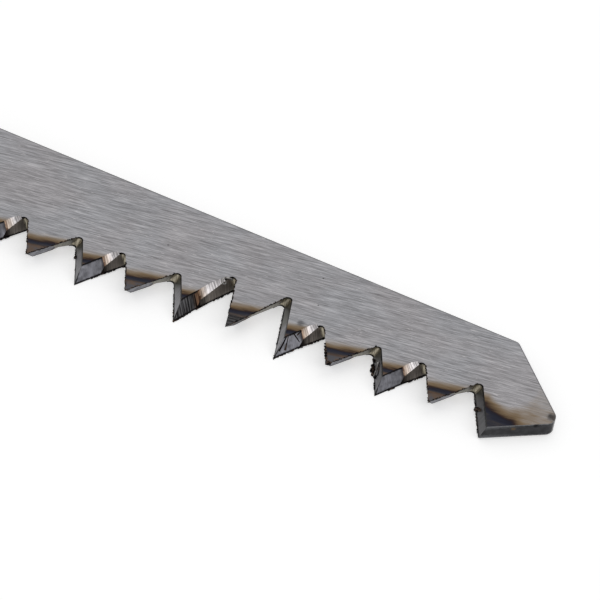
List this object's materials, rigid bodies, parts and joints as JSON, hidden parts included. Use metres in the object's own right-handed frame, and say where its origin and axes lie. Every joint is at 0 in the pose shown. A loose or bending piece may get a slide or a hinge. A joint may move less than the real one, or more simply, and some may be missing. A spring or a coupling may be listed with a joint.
{
  "type": "reciprocating saw blade",
  "caption": "Straight coarse-toothed reciprocating saw blade with a tapering body, slanted nose, fleam-ground teeth in the raw heat colours of grinding, and a half-inch tang.",
  "frame": {"origin": "centre of the shank hole, at half the blade's thickness", "axes": "+X along the straight back edge to the nose, +Y across the blade to the back edge, +Z out of the upper face"},
  "size_m": [0.1996, 0.0201, 0.0018],
  "materials": {
    "ground_steel": "flat-ground strip with heat-tinted, ground teeth"
  },
  "bodies": {
    "root": {"saw_blade": "ground_steel"}
  },
  "joints": []
}
